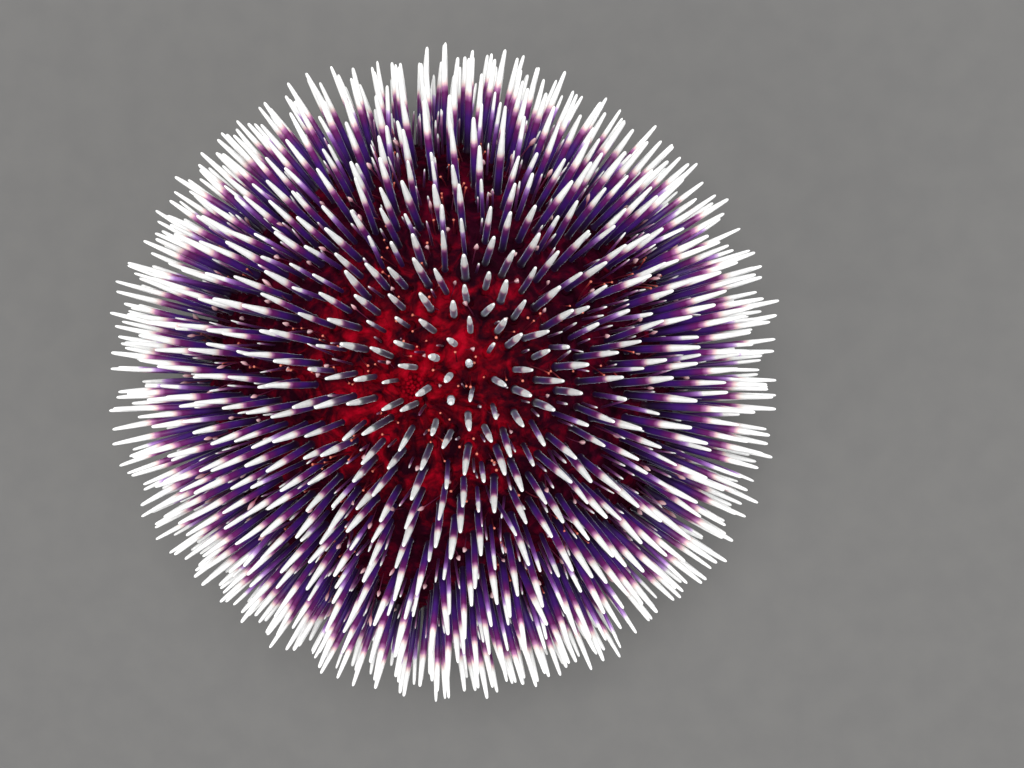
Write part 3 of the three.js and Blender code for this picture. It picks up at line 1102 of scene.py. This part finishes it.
def build_spines():
    """Stout spines in rings all over the test, with slender ones strewn among them."""
    roots = rings(SPINE_ENDS, SPINE_SPACING, SPINE_JITTER)
    slender = rng.random(len(roots)) < SLENDER_SHARE
    stout = roots.pick(~slender)
    radius = STOUT_RADIUS + AMBITUS_THICKENING * np.sin(stout.angle)
    radius = radius * rng.uniform(*STOUT_WIDTHS, len(stout))
    length = full_lengths(stout) * rng.uniform(*STOUT_LENGTHS, len(stout))
    direction, length = fitted(stout, leaned(stout, STOUT_LEAN), length, STOUT_TIP)
    plant_by_pair("spines", stout, direction, length, radius, SPINE_PROFILE, STOUT_SIDES, SPINE_SKIN)
    thin = roots.pick(slender)
    radius = SLENDER_RADIUS * rng.uniform(*SLENDER_WIDTHS, len(thin))
    length = full_lengths(thin) * rng.uniform(*SLENDER_LENGTHS, len(thin))
    direction, length = fitted(thin, leaned(thin, SLENDER_LEAN), length, SLENDER_TIP)
    plant_by_pair(
        "slender_spines", thin, direction, length, radius, SLENDER_PROFILE, SLENDER_SIDES, SLENDER_SKIN
    )
    return roots


def build_small_spines(spine_roots):
    """Short thin spines between the others, half as many on the crown."""
    roots = rings(SMALL_ENDS, SMALL_SPACING, SMALL_JITTER, SMALL_STAGGER)
    roots = roots.pick((roots.angle > SPARSE_CROWN) | (rng.random(len(roots)) < SPARSE_SHARE))
    roots = clear_of(roots, spine_roots, SMALL_ROOM)
    radius = SMALL_RADIUS * rng.uniform(*SMALL_WIDTHS, len(roots))
    length = SMALL_LENGTH * rng.uniform(*SMALL_LENGTHS, len(roots))
    direction, length = fitted(roots, leaned(roots, SMALL_LEAN), length, SMALL_TIP)
    plant_by_pair(
        "small_spines", roots, direction, length, radius, SMALL_PROFILE, SMALL_SIDES, SMALL_SKIN
    )


def build_tubercles(roots):
    """The low bosses that the long spines stand on."""
    for half, own in (("upper", roots.angle < math.pi / 2), ("lower", roots.angle >= math.pi / 2)):
        part = roots.pick(own)
        piece = plant(
            f"tubercles_{half}",
            part,
            "skin",
            SKIN,
            part.normal,
            np.full(len(part), TUBERCLE_HEIGHT),
            np.full(len(part), TUBERCLE_RADIUS),
            TUBERCLE_PROFILE,
            TUBERCLE_SIDES,
            sink=TUBERCLE_SINK,
        )
        if half == "upper":
            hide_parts("apical_disc")


def build_tube_feet(spine_roots):
    """Curved feet with small suckers, along both edges of each ambulacrum."""
    count = TUBE_FEET_PER_EDGE
    first, last = TUBE_FOOT_ENDS
    arc, around = [], []
    for pair in range(ZONE_PAIRS):
        for side in (-1, 1):
            share = (np.arange(count) + rng.random(count)) / count
            arc.append(first + share * (WHOLE_ARC - first - last))
            middle = FIRST_AMBULACRUM + pair * PAIR_ANGLE
            place = side * rng.uniform(*TUBE_FOOT_PLACES, count) * AMBULACRUM_ANGLE / 2
            around.append(middle + place)
    roots = Roots(np.concatenate(arc), np.concatenate(around))
    roots = clear_of(roots, spine_roots, TUBE_FOOT_ROOM)
    length = rng.uniform(*TUBE_FOOT_LENGTHS_MM, len(roots)) * MM
    direction, length = fitted(roots, leaned(roots, TUBE_FOOT_LEAN), length, TUBE_FOOT_TIP)
    radius = TUBE_FOOT_RADIUS * rng.uniform(*TUBE_FOOT_WIDTHS, len(roots))
    plant(
        "tube_feet",
        roots,
        "skin",
        FOOT_SKIN,
        direction,
        length,
        radius,
        TUBE_FOOT_PROFILE,
        TUBE_FOOT_SIDES,
        bow=TUBE_FOOT_BOW,
    )


def build_pedicellariae(spine_roots):
    """Small stalked heads, strewn between the spines."""
    roots = rings(PEDICELLARIA_ENDS, PEDICELLARIA_SPACING, PEDICELLARIA_JITTER, PEDICELLARIA_STAGGER)
    roots = clear_of(roots, spine_roots, PEDICELLARIA_ROOM)
    length = rng.uniform(*PEDICELLARIA_LENGTHS_MM, len(roots)) * MM
    direction, length = fitted(roots, leaned(roots, PEDICELLARIA_LEAN), length, PEDICELLARIA_TIP)
    radius = PEDICELLARIA_RADIUS * rng.uniform(*PEDICELLARIA_WIDTHS, len(roots))
    plant(
        "pedicellariae",
        roots,
        "skin",
        JAW_SKIN,
        direction,
        length,
        radius,
        PEDICELLARIA_PROFILE,
        PEDICELLARIA_SIDES,
        bow=PEDICELLARIA_BOW,
        lobes=HEAD_LOBES,
    )


# Apical plates


def cap_points(outline, height):
    """A low domed plate over an outline of points, row by row to its middle."""
    centre = outline.mean(axis=0)
    up = np.array([0, 0, 1.0])
    shares = np.linspace(1, 0, APICAL_ROWS + 1)[:-1]
    rise = height * np.sqrt(1 - shares**3)
    lifted = centre + (outline - centre) * shares[:, None, None] + up * rise[:, None, None]
    return np.concatenate([lifted.reshape(-1, 3), [centre + up * height]])


def cap_faces(sides):
    """Faces of one domed plate, whose last point is its middle."""
    body = grid_faces(APICAL_ROWS, sides)[:, ::-1]
    side = np.arange(sides)
    last = (APICAL_ROWS - 1) * sides
    middle = np.full(sides, APICAL_ROWS * sides)
    fan = np.stack([middle, last + side, last + (side + 1) % sides], axis=-1)
    return body.tolist() + fan.tolist()


def plate_outline(centre_radius, around, radius, corners, sides):
    """A rounded many-sided outline lying on the crown."""
    turn = np.arange(sides) * 2 * math.pi / sides
    reach = radius * (1 + APICAL_CORNER * np.cos(corners * (turn - math.pi)))
    across = centre_radius * math.cos(around) + reach * np.cos(turn + around)
    up = centre_radius * math.sin(around) + reach * np.sin(turn + around)
    flat = np.hypot(across, up)
    angle = np.arcsin((flat / TEST_RADIUS).clip(0, 1))
    return np.stack([across, up, meridian(angle)[1] - APICAL_SINK], axis=-1)


def build_apical_plates():
    """Five genital plates, one of them the larger sieve plate, five oculars and the covered vent."""
    points, faces = [], []

    def add(around, ring_radius, radius, height, corners, sides):
        start = sum(len(p) for p in points)
        outline = plate_outline(ring_radius, around, radius, corners, sides)
        points.append(cap_points(outline, height))
        faces.extend([[start + corner for corner in face] for face in cap_faces(sides)])

    for pair in range(ZONE_PAIRS):
        middle = FIRST_AMBULACRUM + pair * PAIR_ANGLE
        genital = SIEVE_PLATE if pair == 0 else GENITAL_PLATE
        add(middle + PAIR_ANGLE / 2, *genital, APICAL_SIDES)
        add(middle, *OCULAR_PLATE, APICAL_SIDES)
    for ring, (ring_radius, count, radius, height) in enumerate(VENT_RINGS):
        for i in range(count):
            around = (i + 0.5 * (ring % 2)) * 2 * math.pi / count
            add(around, ring_radius, radius, height, VENT_PLATE_CORNERS, VENT_PLATE_SIDES)
    made = joined_mesh("apical_plates", np.concatenate(points), faces, "skin", SKIN)
    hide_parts("apical_disc")


# Mouth


def build_mouth():
    """The mouth membrane with slack folds round the jaws, and the dark throat behind them."""
    columns = MEMBRANE_COLUMNS
    share = np.linspace(0, 1, MEMBRANE_ROWS)
    around = np.arange(columns) * 2 * math.pi / columns
    grid_share, grid_around = np.meshgrid(share, around, indexing="ij")
    outer = MOUTH_RADIUS + MEMBRANE_LAP
    flat = np.minimum(grid_share / THROAT_SHARE, 1)
    arch = np.sin(np.pi * flat)
    radius = outer + (JAW_OPENING_RADIUS - outer) * flat
    sag = MEMBRANE_SAG * np.sin(np.pi / 2 * np.minimum(flat / LOWEST_SHARE, 1)) - MEMBRANE_RISE
    bend = FOLD_BEND * np.sin(flat * FOLD_BEATS)
    folds = FOLD_DEPTH * np.sin(grid_around * FOLD_COUNT + bend) * arch
    ripple = RIPPLE_DEPTH * np.sin(flat * RIPPLE_BEATS) * arch
    inward = np.maximum(grid_share - THROAT_SHARE, 0) / (1 - THROAT_SHARE)
    height = MOUTH_Z - sag + folds + ripple + inward * THROAT_DEPTH
    radius = radius * (1 - THROAT_NARROWING * inward)
    points = round_axis(radius, grid_around, height).reshape(-1, 3)
    faces = grid_faces(MEMBRANE_ROWS, columns).tolist()
    last = (MEMBRANE_ROWS - 1) * columns
    centre = len(points)
    faces += [[last + i, centre, last + (i + 1) % columns] for i in range(columns)]
    points = np.concatenate([points, [[0, 0, MOUTH_Z + THROAT_TOP]]])
    made = joined_mesh("mouth_membrane_skin", points, faces, "membrane", MEMBRANE_SKIN)
    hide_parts("mouth_membrane")


def build_buccal_feet():
    """Ten stout feet in five pairs round the jaws, which stand on the membrane instead of the skin."""
    foot = np.arange(2 * ZONE_PAIRS)
    around = FIRST_AMBULACRUM + (foot // 2) * PAIR_ANGLE + (foot % 2 - 0.5) * BUCCAL_PAIR_ANGLE
    bases = round_axis(BUCCAL_RING, around, MOUTH_Z + BUCCAL_FOOT_SINK)
    roots = Roots(np.full(len(foot), WHOLE_ARC), np.arctan2(bases[:, 1], bases[:, 0]))
    roots.point = bases
    plant(
        "buccal_feet",
        roots,
        "membrane",
        FOOT_SKIN,
        unit(round_axis(BUCCAL_FOOT_SPLAY, around, -1.0)),
        np.full(len(foot), BUCCAL_FOOT_LENGTH),
        np.full(len(foot), BUCCAL_FOOT_RADIUS),
        BUCCAL_FOOT_PROFILE,
        BUCCAL_FOOT_SIDES,
        bow=BUCCAL_FOOT_BOW,
    )


def grown(share, tip, more, full_share, power):
    """A size of a tooth at each share of its height from the tip."""
    return (tip + more * np.minimum(share / full_share, 1) ** power) * MM


def squared(wave):
    """A sine or cosine drawn out towards its extremes, which makes a round section boxy."""
    return np.sign(wave) * np.abs(wave) ** TOOTH_BOXINESS


def build_teeth():
    """Five curved chisels that meet under the mouth, each in place of its solid."""
    rows, sides = TOOTH_ROWS, TOOTH_SIDES
    share = np.linspace(0, 1, rows)
    turn = np.arange(sides) * 2 * math.pi / sides
    reach = grown(share, *TOOTH_REACH)
    half_width = grown(share, *TOOTH_HALF_WIDTH)
    half_depth = grown(share, *TOOTH_HALF_DEPTH)
    radial = reach[:, None] + half_depth[:, None] * squared(np.cos(turn))
    across = half_width[:, None] * squared(np.sin(turn))
    for index in range(ZONE_PAIRS):
        node = f"tooth_{index + 1}"
        low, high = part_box(node)
        around = FIRST_AMBULACRUM + (index + 0.5) * PAIR_ANGLE
        bottom = low.z + TOOTH_LIFT
        height = bottom + (high.z - bottom) * share
        points = np.stack(
            [
                radial * math.cos(around) - across * math.sin(around),
                radial * math.sin(around) + across * math.cos(around),
                np.broadcast_to(height[:, None], radial.shape),
            ],
            axis=-1,
        ).reshape(-1, 3)
        faces = grid_faces(rows, sides)[:, ::-1].tolist()
        faces.append(list(range(sides))[::-1])
        faces.append([(rows - 1) * sides + i for i in range(sides)])
        made = joined_mesh(f"{node}_enamel", points, faces, "teeth", TOOTH_ENAMEL)
        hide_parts(node)


# Stage


def build_camera():
    """A camera at the photograph's angle, which puts the middle of the body at its pixel."""
    body = Vector((0, 0, AMBITUS_Z))
    back = Vector(
        (
            math.sin(CAMERA_LEAN) * math.cos(CAMERA_BEARING),
            math.sin(CAMERA_LEAN) * math.sin(CAMERA_BEARING),
            math.cos(CAMERA_LEAN),
        )
    )
    up = Vector((0, 1, 0))
    up = (up - up.dot(back) * back).normalized()
    right = up.cross(back)
    looking = Matrix((right, up, back)).transposed()
    focal_pixels = LENS_MM / SENSOR_MM * FRAME_WIDTH
    seen = Vector((BODY_PIXEL[0] - FRAME_WIDTH / 2, FRAME_HEIGHT / 2 - BODY_PIXEL[1], -focal_pixels))
    aim = seen.rotation_difference(Vector((0, 0, -1))).to_matrix()
    camera = bpy.data.objects.new("camera", bpy.data.cameras.new("camera"))
    camera.data.lens = LENS_MM
    camera.data.sensor_width = SENSOR_MM
    camera.data.clip_start = 10 * MM
    camera.matrix_world = Matrix.Translation(body + back * CAMERA_DISTANCE) @ (looking @ aim).to_4x4()
    bpy.context.scene.collection.objects.link(camera)
    bpy.context.scene.camera = camera


def soft_sun(name, place, strength, angle, colour):
    """A broad light from the side of this place, as strong all over the floor."""
    light = bpy.data.lights.new(name, "SUN")
    light.energy = strength
    light.angle = math.radians(angle)
    light.color = colour
    made = bpy.data.objects.new(name, light)
    made.location = place
    towards = Vector((0, 0, AMBITUS_Z)) - Vector(place)
    made.rotation_mode = "QUATERNION"
    made.rotation_quaternion = towards.to_track_quat("-Z", "Y")
    bpy.context.scene.collection.objects.link(made)


def build_stage():
    """A grey floor, soft light from over the camera and weaker light from round about."""
    mesh = bpy.data.meshes.new("floor")
    half = FLOOR_HALF_WIDTH
    corners = [(-half, -half, 0), (half, -half, 0), (half, half, 0), (-half, half, 0)]
    mesh.from_pydata(corners, [], [(0, 1, 2, 3)])
    floor = bpy.data.objects.new("floor", mesh)
    slate = noisy_material(
        "floor_slate",
        dark=(0.094, 0.092, 0.089),
        light=(0.100, 0.098, 0.094),
        scale=140,
        roughness=0.8,
        bump=0.05 * MM,
    )
    mesh.materials.append(slate)
    bpy.context.scene.collection.objects.link(floor)
    for name, light in LIGHTS.items():
        soft_sun(name, *light)
    world = bpy.data.worlds.new("studio")
    world.use_nodes = True
    backdrop = world.node_tree.nodes["Background"]
    backdrop.inputs["Color"].default_value = (*SKY_COLOUR, 1)
    backdrop.inputs["Strength"].default_value = SKY_STRENGTH
    bpy.context.scene.world = world
    bpy.context.scene.view_settings.view_transform = "Standard"


skin = build_skin()
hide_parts(*[node for pair in range(ZONE_PAIRS) for node in zone_nodes(pair)], "apical_disc")
spine_roots = build_spines()
build_tubercles(spine_roots)
build_small_spines(spine_roots)
build_tube_feet(spine_roots)
build_pedicellariae(spine_roots)
build_apical_plates()
build_mouth()
build_buccal_feet()
build_teeth()
build_camera()
build_stage()
